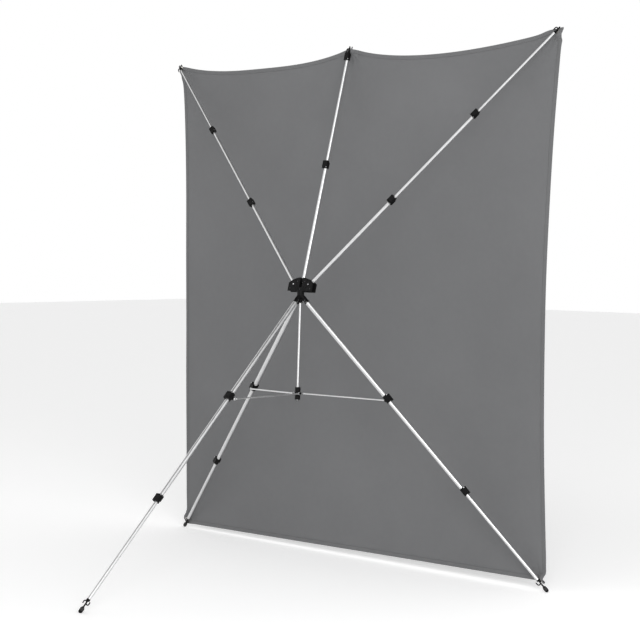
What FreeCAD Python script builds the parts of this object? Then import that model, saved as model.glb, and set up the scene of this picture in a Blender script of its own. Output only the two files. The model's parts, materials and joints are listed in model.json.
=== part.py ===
import FreeCAD, Part
import math
import os
import re

# Collapsible backdrop frame with its sheet, standing open as in use.
# Six telescopic limbs meet at a plastic crown: three legs below, three arms above.
# +Z is up, +X is across the sheet, +Y points from the frame towards the sheet.
# The origin is on the floor, in the middle of the whole object's outline.

V = FreeCAD.Vector
X_AXIS = V(1, 0, 0)
Z_AXIS = V(0, 0, 1)
IDENTITY = FreeCAD.Placement()

doc = FreeCAD.newDocument("BackdropFrame")

# ---------------------------------------------------------------- driving dimensions, in mm and degrees
DIMENSIONS = [
    ("hub_height", 1310, "height of the point where all six limb axes meet"),
    ("hub_forward", 487.5, "that point's distance in front of the origin"),
    ("spindle_lean", 1.82, "lean of the spindle, top towards the sheet"),
    ("leg_angle", 44.05, "angle between an open leg and the spindle"),
    ("leg_closed_angle", 3, "the same angle with the frame folded"),
    ("leg_turn", 18.92, "turn of each front leg from the X axis, about the spindle"),
    ("fan_lean", 15.75, "lean of the plane that holds the three arms"),
    ("arm_rise", 45.68, "rise of a corner arm above the X axis, in that plane"),
    ("leg_outer_radius", 11, "outer leg tube"),
    ("leg_middle_radius", 9.5, "middle leg tube"),
    ("leg_inner_radius", 8, "inner leg tube"),
    ("arm_outer_radius", 8.25, "outer arm tube"),
    ("arm_middle_radius", 6.8, "middle arm tube"),
    ("arm_inner_radius", 5.4, "inner arm tube"),
    ("tube_wall", 1.1, "wall of every tube"),
    ("leg_pivot", 37, "leg hinge pin, measured along the leg from the hub point"),
    ("arm_pivot", 68, "arm hinge pin, measured along the arm from the hub point"),
    ("arm_root", 60, "start of the outer arm tube"),
    ("leg_tube_start", 46, "start of the outer leg tube, inside its socket"),
    ("leg_clamp", 659, "centre of a leg's first clamp, along the leg"),
    ("arm_clamp", 651, "centre of an arm's first clamp, along the arm"),
    ("rear_clamp", 1263, "centre of the rear leg's second clamp"),
    ("left_clamp", 1241, "centre of the left leg's second clamp"),
    ("right_clamp", 1220, "centre of the right leg's second clamp"),
    ("corner_clamp", 1210, "centre of a corner arm's second clamp"),
    ("centre_clamp", 1207, "centre of the centre arm's second clamp"),
    ("corner_arm_reach", 1746, "hub point to the end of a corner arm"),
    ("leg_middle_length", 654, "middle leg tube"),
    ("leg_inner_length", 640, "inner leg tube"),
    ("arm_middle_length", 620, "middle arm tube"),
    ("arm_inner_length", 560, "inner arm tube"),
    ("tube_grip", 5, "tube end beyond the middle of the clamp that holds it"),
    ("clamp_length", 38, "length of a clamp and of its lever"),
    ("clamp_wall", 2.8, "plastic wall around a tube in its clamp"),
    ("cheek", 2.4, "thickness of a lever's plate and cheeks"),
    ("cheek_gap", 0.5, "side gap between a clamp and its lever"),
    ("plate_gap", 0.8, "gap under a lever's plate"),
    ("lever_pin_radius", 1.6, "trunnions moulded on a lever"),
    ("lever_boss_radius", 3.6, "clamp's boss around the trunnions"),
    ("socket_radius", 12, "barrel of a leg socket"),
    ("socket_start", 44, "start of that barrel, along the leg"),
    ("socket_end", 54, "end of that barrel"),
    ("tongue_thickness", 11, "flat tongue of a leg socket"),
    ("tongue_radius", 7, "round end of that tongue"),
    ("hinge_pin_radius", 2.5, "pins that join the limbs to the crown"),
    ("fan_radius", 127, "domed top edge of the crown's fan"),
    ("fan_centre", 45, "centre of that dome, below the hub point"),
    ("fan_half_width", 78, "crown's side edges"),
    ("fan_bottom", 15, "flat lower edge of the fan, above the hub point"),
    ("fan_front", 15, "front face of the fan"),
    ("fan_back", 14, "back face of the fan"),
    ("fan_core", 34, "half width of the solid middle of the fan"),
    ("hub_radius", 17, "boss under the fan"),
    ("ear_thickness", 5, "the two ears that hold each leg's hinge pin"),
    ("slot_half", 8.7, "half width of the slots that the arms fold through"),
    ("centre_slot_floor", 34, "lower end of the centre arm's slot"),
    ("spindle_radius", 5.25, "spindle rod"),
    ("spindle_start", 6, "spindle's top end, below the hub point"),
    ("spindle_stop", 503.5, "flange on the spindle's lower end"),
    ("spindle_socket_radius", 9.5, "crown's socket for the spindle"),
    ("spindle_socket_end", 39, "lower end of that socket"),
    ("spider_drop", 472.5, "centre of the spider, along the spindle"),
    ("spider_length", 60, "spider's barrel"),
    ("spider_radius", 10.5, "spider's barrel"),
    ("spider_pin_reach", 8, "brace pins' distance from the spindle's axis"),
    ("brace_radius", 4, "brace rod"),
    ("brace_inner_side", 17, "side offset of a brace at the spider"),
    ("brace_outer_side", 23.2, "side offset of a brace at the leg clamp"),
    ("brace_pin_radius", 2, "brace pin on the spider"),
    ("brace_eye_radius", 6.5, "round ends of a brace"),
    ("brace_eye_thickness", 5.6, "thickness of those ends"),
    ("lug_depth", 13.2, "brace lug's pin axis, inwards from the leg's axis"),
    ("hook_wire_radius", 2.6, "hook horns"),
    ("hook_bend_radius", 8, "bend of a hook horn"),
    ("foot_radius", 9, "rubber foot"),
    ("foot_contact_height", 8.1, "centre of the rubber foot's round end, above the floor"),
    ("sheet_thickness", 0.8, "backdrop sheet"),
    ("sheet_half_width", 1222, "top corners of the sheet"),
    ("sheet_top_y", 352, "sheet's distance in front of the hub point, at its top"),
    ("sheet_bottom_y", 375.5, "the same at its lower edge"),
    ("sheet_top_z", 2511, "height of the sheet's top corners"),
    ("grommet_hole_radius", 5, "grommet"),
    ("grommet_flange_radius", 9, "grommet"),
]

sheet = doc.addObject("Spreadsheet::Sheet", "Dimensions")
for row, (alias, value, note) in enumerate(DIMENSIONS, start=1):
    sheet.set(f"A{row}", alias)
    sheet.set(f"B{row}", str(value))
    sheet.set(f"C{row}", note)
    sheet.setAlias(f"B{row}", alias)
doc.recompute()
size = {alias: float(sheet.get(alias)) for alias, value, note in DIMENSIONS}


def bind(obj, **properties):
    """Ties properties of an object to expressions written with the sheet's aliases."""
    for name, text in properties.items():
        linked = re.sub(r"[a-z][a-z_]+", lambda word: "Dimensions." + word.group(0), text)
        obj.setExpression(name, linked)
    return obj


# ---------------------------------------------------------------- directions and frames
def radians(alias):
    return math.radians(size[alias])


def axes_placement(origin, x, y, z):
    """The placement whose local axes are x, y and z, each a unit vector."""
    matrix = FreeCAD.Matrix(
        x.x, y.x, z.x, origin.x,
        x.y, y.y, z.y, origin.y,
        x.z, y.z, z.z, origin.z,
        0, 0, 0, 1,
    )
    return FreeCAD.Placement(matrix)


HUB = V(0, size["hub_forward"], size["hub_height"])
LEAN = radians("spindle_lean")
DOWN = V(0, -math.sin(LEAN), -math.cos(LEAN))          # along the spindle, downwards
FORWARD = V(0, math.cos(LEAN), -math.sin(LEAN))        # square to the spindle, towards the sheet
FAN_UP = V(0, math.sin(radians("fan_lean")), math.cos(radians("fan_lean")))
FAN_NORMAL = V(0, math.cos(radians("fan_lean")), -math.sin(radians("fan_lean")))
HUB_FRAME = axes_placement(HUB, X_AXIS, -FORWARD, DOWN)
FAN_FRAME = axes_placement(HUB, X_AXIS * -1, FAN_NORMAL * -1, FAN_UP)


def leg_frame(turn_degrees):
    """Local Z runs down the leg, Y to its outer side and X sideways, from the hub point."""
    turn = math.radians(turn_degrees)
    out = X_AXIS * math.cos(turn) + FORWARD * math.sin(turn)
    angle = radians("leg_angle")
    along = DOWN * math.cos(angle) + out * math.sin(angle)
    outer = out * math.cos(angle) - DOWN * math.sin(angle)
    return axes_placement(HUB, outer.cross(along), outer, along)


def brace_frame(turn_degrees):
    """Local Z points out from the spindle, Y up and X sideways, from the spider's centre."""
    turn = math.radians(turn_degrees)
    out = X_AXIS * math.cos(turn) + FORWARD * math.sin(turn)
    centre = HUB + DOWN * size["spider_drop"]
    return axes_placement(centre, (DOWN * -1).cross(out), DOWN * -1, out)


def arm_frame(rise_degrees):
    """Local Z runs up the arm, Y to the back of the frame and X sideways, from the hub point."""
    rise = math.radians(rise_degrees)
    along = X_AXIS * math.cos(rise) + FAN_UP * math.sin(rise)
    back = FAN_NORMAL * -1
    return axes_placement(HUB, back.cross(along), back, along)


LEG_TURNS = {"rear": -90, "left": 180 - size["leg_turn"], "right": size["leg_turn"]}
ARM_RISES = {"left": 180 - size["arm_rise"], "centre": 90, "right": size["arm_rise"]}


# ---------------------------------------------------------------- building blocks
def at(x=0.0, y=0.0, z=0.0, rotation=None):
    return FreeCAD.Placement(V(x, y, z), rotation or FreeCAD.Rotation())


ALONG_X = FreeCAD.Rotation(V(0, 1, 0), 90)     # turns a cylinder's axis from Z to X
ALONG_Y = FreeCAD.Rotation(V(1, 0, 0), -90)    # turns it from Z to Y


def primitive(kind, placement, **sizes):
    obj = doc.addObject("Part::" + kind, kind)
    bind(obj, **sizes)
    obj.Placement = placement
    return obj


def cylinder(placement, radius, length):
    return primitive("Cylinder", placement, Radius=radius, Height=length)


def block(placement, length, width, height):
    """A box whose local X, Y and Z sizes are length, width and height, from its low corner."""
    return primitive("Box", placement, Length=length, Width=width, Height=height)


def ball(placement, radius):
    return primitive("Sphere", placement, Radius=radius)


def fuse(*pieces):
    obj = doc.addObject("Part::MultiFuse", "Fuse")
    obj.Shapes = list(pieces)
    obj.Refine = True
    return obj


def cut(base, *tools):
    obj = doc.addObject("Part::Cut", "Cut")
    obj.Base = base
    obj.Tool = tools[0] if len(tools) == 1 else fuse(*tools)
    obj.Refine = True
    return obj


def common(first, second):
    obj = doc.addObject("Part::Common", "Common")
    obj.Base = first
    obj.Tool = second
    return obj


def gather(*pieces):
    """Separate solids that share one sub-part, such as a set of like pins."""
    obj = doc.addObject("Part::Compound", "Group")
    obj.Links = list(pieces)
    return obj


nodes = []


def sub_part(label, obj, placement=IDENTITY):
    obj.Label = label
    obj.Placement = placement
    nodes.append(obj)
    return obj


def placed(frame, distance):
    """The limb's frame, moved along the limb by a distance from the hub point."""
    return frame.multiply(at(z=distance))


# ---------------------------------------------------------------- tubes
def tube(radius, length):
    """A tube whose local origin is the middle of its lower end, along Z."""
    bore = cylinder(at(z=-1), f"{radius} - tube_wall", f"{length} + 2")
    return cut(cylinder(IDENTITY, radius, length), bore)


def arm_outer_tube(centre):
    """The outer arm tube, drilled for its hinge pin: sideways on the centre arm, which folds to the back."""
    pin_height = size["arm_pivot"] - size["arm_root"]
    reach = 2 * size["arm_outer_radius"]
    sideways = at(x=-reach, z=pin_height, rotation=ALONG_X)
    backwards = at(y=-reach, z=pin_height, rotation=ALONG_Y)
    start = sideways if centre else backwards
    hole = cylinder(start, "hinge_pin_radius + 0.05", "4 * arm_outer_radius")
    return cut(tube("arm_outer_radius", "arm_clamp + tube_grip - arm_root"), hole)


# ---------------------------------------------------------------- flip locks
def lock_sizes(tube_alias):
    """The few places in a lock that its pieces share, in its own frame, centred on the clamp."""
    ring = size[tube_alias] + size["clamp_wall"]
    half = size["clamp_length"] / 2
    return {
        "ring": ring,
        "half": half,
        "pin_y": ring + size["plate_gap"] + size["cheek"] / 2,
        "pin_z": -half + size["lever_boss_radius"] + 0.6,
        "inner_x": ring + size["cheek_gap"],
        "outer_x": ring + size["cheek_gap"] + size["cheek"],
    }


def clamp(tube_alias, next_alias, with_brace_lug=False):
    """A split plastic clamp around the end of one tube, through which the next tube slides."""
    place = lock_sizes(tube_alias)
    ring = f"{tube_alias} + clamp_wall"
    body = [
        cylinder(at(z=0.5 - place["half"]), ring, "clamp_length - 1"),
        cylinder(
            at(-place["ring"], place["pin_y"], place["pin_z"], ALONG_X),
            "lever_boss_radius",
            f"2 * ({ring})",
        ),
        block(
            at(1 - place["ring"], place["ring"] / 2, place["pin_z"] - size["lever_boss_radius"]),
            f"2 * ({ring}) - 2",
            f"({ring}) / 2 + plate_gap + cheek / 2",
            "2 * lever_boss_radius",
        ),
    ]
    if with_brace_lug:
        lug_height = 7.5
        lug_width = 10.0
        body.append(
            block(
                at(-6, -size["lug_depth"] - lug_height / 2, -lug_width / 2),
                f"6 + {ring} + cheek_gap + cheek + 0.3",
                str(lug_height),
                str(lug_width),
            )
        )
    trunnion_hole = cylinder(
        at(-place["outer_x"], place["pin_y"], place["pin_z"], ALONG_X),
        "lever_pin_radius + 0.1",
        f"2 * ({ring} + cheek_gap + cheek)",
    )
    tube_seat = cylinder(at(z=-place["half"]), f"{tube_alias} + 0.05", "clamp_length / 2 + tube_grip + 0.2")
    slide_bore = cylinder(at(z=-place["half"]), f"{next_alias} + 0.3", "clamp_length")
    slit_start = place["pin_z"] + size["lever_boss_radius"] + 2
    slit = block(at(-0.8, 0, slit_start), "1.6", f"{ring} + 5", "clamp_length")
    return cut(fuse(*body), trunnion_hole, tube_seat, slide_bore, slit)


def lever(tube_alias):
    """The U-shaped lever that closes a clamp: a plate on the outer side and a cheek down each side."""
    place = lock_sizes(tube_alias)
    width = f"2 * ({tube_alias} + clamp_wall + cheek_gap + cheek)"
    inner_width = f"2 * ({tube_alias} + clamp_wall + cheek_gap)"
    skirt = 0.6 * place["ring"]
    top = place["pin_y"] + size["cheek"] / 2
    shell = block(at(-place["outer_x"], -skirt, -place["half"]), width, str(top + skirt), "clamp_length")
    channel = block(
        at(-place["inner_x"], -skirt - 1, -place["half"] - 1),
        inner_width,
        str(top + skirt + 1 - size["cheek"]),
        "clamp_length + 2",
    )
    boss_window = block(
        at(-place["inner_x"], 0, -place["half"] - 1),
        inner_width,
        str(top + 1),
        "2 * lever_boss_radius + 0.6 + 1 + 0.8",
    )
    mouth_radius = 0.75 * place["ring"]
    mouth = cylinder(
        at(-place["outer_x"] - 1, -skirt, size["clamp_length"] / 2, ALONG_X),
        str(mouth_radius),
        f"{width} + 2",
    )
    trunnions = [
        cylinder(at(x, place["pin_y"], place["pin_z"], ALONG_X), "lever_pin_radius", "3 + cheek / 2")
        for x in (-place["inner_x"] - size["cheek"] / 2, place["inner_x"] - 3)
    ]
    return fuse(cut(shell, channel, boss_window, mouth), *trunnions)


# ---------------------------------------------------------------- hook tips
CAP_LENGTH = 8.0
PLUG_LENGTH = 18.0
SHANK_RADIUS = 3.4
ARM_TIP_LENGTH = 35.0
LEG_TIP_LENGTH = 70.0
FOOT_START = 37.0
HORN_STRAIGHT = 8.0
HORN_UP_ROOT = 20.6       # where the horn that points to the tip leaves the shank
HORN_DOWN_ROOT = 14.6     # where the horn that points to the tube leaves it


def horn(side, root, direction):
    """A J-shaped horn in the local XZ plane: side is its sign in X, direction its free end's in Z."""
    bend = size["hook_bend_radius"]
    half_ring = primitive(
        "Torus",
        at(side * bend, 0, root, FreeCAD.Rotation(V(1, 0, 0), -90 * direction)),
        Radius1="hook_bend_radius",
        Radius2="hook_wire_radius",
        Angle3="180",
    )
    low = root if direction > 0 else root - HORN_STRAIGHT
    straight = cylinder(at(side * 2 * bend, 0, low), "hook_wire_radius", str(HORN_STRAIGHT))
    end = ball(at(side * 2 * bend, 0, root + direction * HORN_STRAIGHT), "hook_wire_radius")
    return [half_ring, straight, end]


def hook(cap_radius, bore_radius, length, side):
    """Cap, plug and shank with two horns, from the end of the inner tube at local Z = 0."""
    return [
        cylinder(IDENTITY, cap_radius, str(CAP_LENGTH)),
        cylinder(at(z=-PLUG_LENGTH), bore_radius, str(PLUG_LENGTH + 1)),
        cylinder(IDENTITY, str(SHANK_RADIUS), str(length - SHANK_RADIUS)),
        *horn(side, HORN_UP_ROOT, 1),
        *horn(-side, HORN_DOWN_ROOT, -1),
    ]


def arm_tip():
    pieces = hook("arm_inner_radius + 0.8", "arm_inner_radius - tube_wall - 0.05", ARM_TIP_LENGTH, -1)
    return fuse(*pieces, ball(at(z=ARM_TIP_LENGTH - SHANK_RADIUS), str(SHANK_RADIUS)))


def leg_tip(placement):
    """A hook that ends in a capsule-shaped rubber foot, cut flat where it meets the floor."""
    pieces = hook("leg_inner_radius + 0.4", "leg_inner_radius - tube_wall - 0.05", FOOT_START + 4, -1)
    cone_length = 9.0
    cone = primitive(
        "Cone", at(z=FOOT_START), Radius1=str(SHANK_RADIUS), Radius2="foot_radius", Height=str(cone_length)
    )
    barrel_start = FOOT_START + cone_length
    barrel = cylinder(at(z=barrel_start), "foot_radius", f"{LEG_TIP_LENGTH - barrel_start} - foot_radius")
    round_end = ball(at(z=LEG_TIP_LENGTH - size["foot_radius"]), "foot_radius")
    turned = fuse(*[turn_hook(piece) for piece in pieces], cone, barrel, round_end)
    floor = block(IDENTITY, "200", "200", "50")
    floor.Placement = placement.inverse().multiply(at(placement.Base.x - 100, placement.Base.y - 100, -50))
    return cut(turned, floor)


def turn_hook(piece):
    """Turns a leg hook's pieces by a quarter, so that its horns lie in the leg's upright plane."""
    quarter = FreeCAD.Placement(V(0, 0, 0), FreeCAD.Rotation(Z_AXIS, -90))
    piece.Placement = quarter.multiply(piece.Placement)
    return piece


# ---------------------------------------------------------------- limbs
def add_lock(limb, number, frame, distance, tube_alias, next_alias, with_brace_lug=False):
    placement = placed(frame, distance)
    sub_part(f"{limb}_clamp_{number}", clamp(tube_alias, next_alias, with_brace_lug), placement)
    sub_part(f"{limb}_lever_{number}", lever(tube_alias), placement)


def foot_distance(frame):
    """Distance along a leg to the end of its middle tube's run, where the tip begins."""
    slope = -frame.Rotation.multVec(Z_AXIS).z
    round_centre = (size["hub_height"] - size["foot_contact_height"]) / slope
    return round_centre + size["foot_radius"] - LEG_TIP_LENGTH


def add_leg(side):
    limb = "leg_" + side
    frame = leg_frame(LEG_TURNS[side])
    second = size[side + "_clamp"]
    tip = foot_distance(frame)
    grip = size["tube_grip"]
    outer = tube("leg_outer_radius", "leg_clamp + tube_grip - leg_tube_start")
    sub_part(limb + "_outer_tube", outer, placed(frame, size["leg_tube_start"]))
    middle = tube("leg_middle_radius", "leg_middle_length")
    sub_part(limb + "_middle_tube", middle, placed(frame, second + grip - size["leg_middle_length"]))
    inner = tube("leg_inner_radius", "leg_inner_length")
    sub_part(limb + "_inner_tube", inner, placed(frame, tip - size["leg_inner_length"]))
    add_lock(limb, 1, frame, size["leg_clamp"], "leg_outer_radius", "leg_middle_radius", True)
    add_lock(limb, 2, frame, second, "leg_middle_radius", "leg_inner_radius")
    tip_placement = placed(frame, tip)
    sub_part(limb + "_hook_foot", leg_tip(tip_placement), tip_placement)
    add_leg_socket(side, frame)
    add_brace(side)


def add_leg_socket(side, frame):
    """The moulded socket on a leg's top end: a flat tongue for the hinge pin and a barrel for the tube."""
    half = size["tongue_thickness"] / 2
    round_end = cylinder(at(-half, rotation=ALONG_X), "tongue_radius", "tongue_thickness")
    tongue_start = at(-half, -size["tongue_radius"])
    tongue = block(tongue_start, "tongue_thickness", "2 * tongue_radius", "socket_start - leg_pivot + 1")
    barrel_start = size["socket_start"] - size["leg_pivot"]
    barrel = cylinder(at(z=barrel_start), "socket_radius", "socket_end - socket_start")
    tube_start = size["leg_tube_start"] - size["leg_pivot"]
    seat = cylinder(at(z=tube_start), "leg_outer_radius + 0.05", "socket_end - leg_tube_start + 1")
    plug_start = at(z=tube_start - 0.5)
    plug = cylinder(plug_start, "leg_outer_radius - tube_wall - 0.05", "socket_end - leg_tube_start - 5.5")
    hole = cylinder(at(-2 * half, rotation=ALONG_X), "hinge_pin_radius + 0.05", "2 * tongue_thickness")
    socket = cut(fuse(cut(fuse(round_end, tongue, barrel), seat), plug), hole)
    sub_part(f"leg_{side}_socket", socket, placed(frame, size["leg_pivot"]))


def add_arm(side):
    limb = "arm_" + side
    frame = arm_frame(ARM_RISES[side])
    centre = side == "centre"
    second = size["centre_clamp"] if centre else size["corner_clamp"]
    retracted_gap = 1.0
    if centre:
        tip = second + size["clamp_length"] / 2 + retracted_gap
    else:
        tip = size["corner_arm_reach"] - ARM_TIP_LENGTH
    sub_part(limb + "_outer_tube", arm_outer_tube(centre), placed(frame, size["arm_root"]))
    middle_start = second + size["tube_grip"] - size["arm_middle_length"]
    middle = tube("arm_middle_radius", "arm_middle_length")
    sub_part(limb + "_middle_tube", middle, placed(frame, middle_start))
    inner_start = tip - size["arm_inner_length"]
    sub_part(limb + "_inner_tube", tube("arm_inner_radius", "arm_inner_length"), placed(frame, inner_start))
    add_lock(limb, 1, frame, size["arm_clamp"], "arm_outer_radius", "arm_middle_radius")
    add_lock(limb, 2, frame, second, "arm_middle_radius", "arm_inner_radius")
    sub_part(limb + "_hook", arm_tip(), placed(frame, tip))


# ---------------------------------------------------------------- spindle, spider and braces
def spindle():
    rod = cylinder(at(z=size["spindle_start"]), "spindle_radius", "spindle_stop - spindle_start + 1")
    flange = cylinder(at(z=size["spindle_stop"]), "spindle_radius + 2.2", "4")
    return fuse(rod, flange)


SPIDER_BOSS_END = 13.9       # side offset of a boss's flat face
SPIDER_HEAD_START = 20.1     # side offset of the head on a brace pin
SPIDER_HEAD_END = 21.6


def spider():
    """A barrel that slides on the spindle, with a boss and a headed pin for each brace."""
    pieces = [cylinder(at(z=-size["spider_length"] / 2), "spider_radius", "spider_length")]
    for turn in LEG_TURNS.values():
        pin_frame = at(rotation=FreeCAD.Rotation(Z_AXIS, -turn)).multiply(at(x=size["spider_pin_reach"]))
        sideways = pin_frame.multiply(at(rotation=ALONG_Y.inverted()))
        pieces.append(placed_cylinder(sideways, 0, SPIDER_BOSS_END, "brace_eye_radius"))
        pieces.append(placed_cylinder(sideways, 0, SPIDER_HEAD_END, "brace_pin_radius"))
        pieces.append(placed_cylinder(sideways, SPIDER_HEAD_START, SPIDER_HEAD_END, "2 * brace_pin_radius"))
    bore = cylinder(at(z=-size["spider_length"]), "spindle_radius + 0.1", "2 * spider_length")
    return cut(fuse(*pieces), bore)


def placed_cylinder(frame, start, end, radius):
    return cylinder(frame.multiply(at(z=start)), radius, str(end - start))


RIVET_RADIUS = 2.4
RIVET_START = 17.4           # side offset of the rivet's inner end, just clear of the clamp's lug
RIVET_END = 27.4


def brace_run():
    """The brace's length and its slope below the spider's plane, seen along its pins."""
    angle = radians("leg_angle")
    reach = size["leg_clamp"] * math.sin(angle) - size["lug_depth"] * math.cos(angle)
    drop = size["leg_clamp"] * math.cos(angle) + size["lug_depth"] * math.sin(angle)
    out = reach - size["spider_pin_reach"]
    down = drop - size["spider_drop"]
    return math.hypot(out, down), math.degrees(math.atan2(down, out))


def add_brace(side):
    """A rod with two flat eyes. Its outer eye carries the rivet that meets the leg clamp's lug."""
    length, slope = brace_run()
    thick = size["brace_eye_thickness"]
    inner_x = size["brace_inner_side"]
    outer_x = size["brace_outer_side"]
    neck = 12.0
    eyes = []
    for x, z, neck_start in ((inner_x, 0.0, 0.0), (outer_x, length, length - neck)):
        eyes.append(cylinder(at(x - thick / 2, 0, z, ALONG_X), "brace_eye_radius", "brace_eye_thickness"))
        eyes.append(
            block(
                at(x - thick / 2, -size["brace_radius"], neck_start),
                "brace_eye_thickness",
                "2 * brace_radius",
                str(neck),
            )
        )
    rod_start = 8.5
    skew = math.degrees(math.atan2(outer_x - inner_x, length))
    side_at_start = inner_x + (outer_x - inner_x) * rod_start / length
    rod_turn = FreeCAD.Rotation(V(0, 1, 0), skew)
    rod = cylinder(at(side_at_start, 0, rod_start, rod_turn), "brace_radius", str(length - 2 * rod_start))
    rivet = cylinder(at(RIVET_START, 0, length, ALONG_X), str(RIVET_RADIUS), str(RIVET_END - RIVET_START))
    head = cylinder(at(RIVET_END - 1.4, 0, length, ALONG_X), "4", "1.4")
    hole = cylinder(at(inner_x - thick, 0, 0, ALONG_X), "brace_pin_radius + 0.05", "2 * brace_eye_thickness")
    solid = cut(fuse(*eyes, rod, rivet, head), hole)
    tilt = at(z=size["spider_pin_reach"], rotation=FreeCAD.Rotation(X_AXIS, slope))
    sub_part("brace_" + side, solid, brace_frame(LEG_TURNS[side]).multiply(tilt))


# ---------------------------------------------------------------- crown
def crown_fan():
    """The fan: two plates and a solid core, with a slot for each arm. Local Y points to the back."""
    thickness = "fan_front + fan_back"
    dome_centre = at(y=-size["fan_front"], z=-size["fan_centre"], rotation=ALONG_Y)
    disc = cylinder(dome_centre, "fan_radius", thickness)
    trim = block(
        at(-size["fan_half_width"], -size["fan_front"], size["fan_bottom"]),
        "2 * fan_half_width",
        thickness,
        "fan_radius",
    )
    slots = [
        block(at(x, -size["slot_half"], 0), "fan_radius", "2 * slot_half", "2 * fan_radius")
        for x in (size["fan_core"], -size["fan_core"] - size["fan_radius"])
    ]
    centre_slot = block(
        at(-size["slot_half"], -12, size["centre_slot_floor"]), "2 * slot_half", "fan_back + 20", "fan_radius"
    )
    return cut(common(disc, trim), *slots, centre_slot)


def crown_hub():
    """The middle of the lower moulding: a boss under the fan and the spindle's socket."""
    top = -22.0
    boss = cylinder(at(z=top), "hub_radius", str(4 - top))
    socket = cylinder(at(z=top), "spindle_socket_radius", f"spindle_socket_end + {-top}")
    return fuse(boss, socket)


def leg_barrel(frame):
    """A barrel in line with an open leg. Its end is a fork: two ears for the pin under a half-round stop."""
    radius = size["socket_radius"]
    gap = size["tongue_thickness"] / 2 + 0.4
    pivot = size["leg_pivot"]
    barrel = cylinder(frame, "socket_radius", "socket_start - 0.6")
    inner_side = frame.multiply(at(-2 * radius, -2 * radius, pivot - 6))
    relief = block(inner_side, "4 * socket_radius", "2 * socket_radius", "30")
    ears = [
        cylinder(frame.multiply(at(x, z=pivot, rotation=ALONG_X)), "tongue_radius - 0.5", "ear_thickness")
        for x in (gap, -gap - size["ear_thickness"])
    ]
    necks = [
        block(
            frame.multiply(at(x, 0.5 - size["tongue_radius"], pivot - 12)),
            "ear_thickness",
            "2 * tongue_radius - 1",
            "12",
        )
        for x in (gap, -gap - size["ear_thickness"])
    ]
    fork = block(
        frame.multiply(at(-gap, -2 * radius, pivot - size["tongue_radius"] - 0.5)),
        "tongue_thickness + 0.8",
        "4 * socket_radius",
        "30",
    )
    return cut(fuse(cut(barrel, relief), *ears, *necks), fork)


def pin_frames():
    """Hinge pins as (frame, half length): local Z runs along each pin, about its middle."""
    frames = []
    for side, turn in LEG_TURNS.items():
        frames.append((leg_frame(turn).multiply(at(z=size["leg_pivot"], rotation=ALONG_X)), 11.5))
    for side, rise in ARM_RISES.items():
        along_pin = ALONG_X if side == "centre" else ALONG_Y
        half = 30.0 if side == "centre" else 15.6
        frames.append((arm_frame(rise).multiply(at(z=size["arm_pivot"], rotation=along_pin)), half))
    return frames


def crown():
    fan = crown_fan()
    fan.Placement = FAN_FRAME
    hub = crown_hub()
    hub.Placement = HUB_FRAME
    spindle_bore = cylinder(HUB_FRAME.multiply(at(z=size["spindle_start"])), "spindle_radius + 0.02", "200")
    barrels = [leg_barrel(leg_frame(turn)) for turn in LEG_TURNS.values()]
    holes = [
        cylinder(frame.multiply(at(z=-2 * half)), "hinge_pin_radius + 0.02", str(4 * half))
        for frame, half in pin_frames()
    ]
    return cut(fuse(fan, hub, *barrels), spindle_bore, *holes)


def crown_pins():
    """The six hinge pins. Those through the fan's plates have a flat head at the back."""
    pins = []
    for frame, half in pin_frames():
        pins.append(cylinder(frame.multiply(at(z=-half)), "hinge_pin_radius", str(2 * half)))
    return gather(*pins)


# ---------------------------------------------------------------- sheet and grommets
LOWER_LEFT = (-1158.0, 33.0)
LOWER_RIGHT = (1176.0, 43.0)
TOP_PEAK = (4.0, 2513.0)
LEFT_SAG = (-620.0, 2458.0)
RIGHT_SAG = (560.0, 2448.0)
LEFT_WAIST = (-1167.0, 1250.0)
RIGHT_WAIST = (1158.0, 1150.0)
GROMMETS = [(-1199.0, 2493.0), (4.0, 2492.0), (1199.0, 2492.0), (-1142.0, 51.0), (1160.0, 60.0)]
GROMMET_BARREL = 1.3
GROMMET_HALF_THICKNESS = 1.2
GROMMET_FLANGE = 0.75


def sheet_placement():
    """Local X is across the sheet, Y up it and Z towards the frame; the origin is at floor level."""
    rise = size["sheet_top_z"]
    back = size["sheet_top_y"] - size["sheet_bottom_y"]
    up = V(0, back, rise).normalize()
    origin = V(0, size["hub_forward"] + size["sheet_bottom_y"], 0)
    return axes_placement(origin, X_AXIS, up, X_AXIS.cross(up))


def backdrop_sheet():
    body = doc.addObject("PartDesign::Body", "Sheet")
    outline = body.newObject("Sketcher::SketchObject", "SheetOutline")
    plane = next(f for f in body.Origin.OriginFeatures if f.Role == "XY_Plane")
    outline.AttachmentSupport = [(plane, "")]
    outline.MapMode = "FlatFace"
    top_left = (-size["sheet_half_width"], size["sheet_top_z"])
    top_right = (size["sheet_half_width"], size["sheet_top_z"] - 3)
    outline.addGeometry(Part.LineSegment(V(*LOWER_LEFT, 0), V(*LOWER_RIGHT, 0)), False)
    for start, middle, end in (
        (LOWER_RIGHT, RIGHT_WAIST, top_right),
        (top_right, RIGHT_SAG, TOP_PEAK),
        (TOP_PEAK, LEFT_SAG, top_left),
        (top_left, LEFT_WAIST, LOWER_LEFT),
    ):
        outline.addGeometry(Part.Arc(V(*start, 0), V(*middle, 0), V(*end, 0)), False)
    for x, y in GROMMETS:
        hole_radius = size["grommet_hole_radius"] + GROMMET_BARREL + 0.1
        outline.addGeometry(Part.Circle(V(x, y, 0), Z_AXIS, hole_radius), False)
    pad = body.newObject("PartDesign::Pad", "SheetPad")
    pad.Profile = outline
    pad.Midplane = True
    bind(pad, Length="sheet_thickness")
    return body


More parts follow.
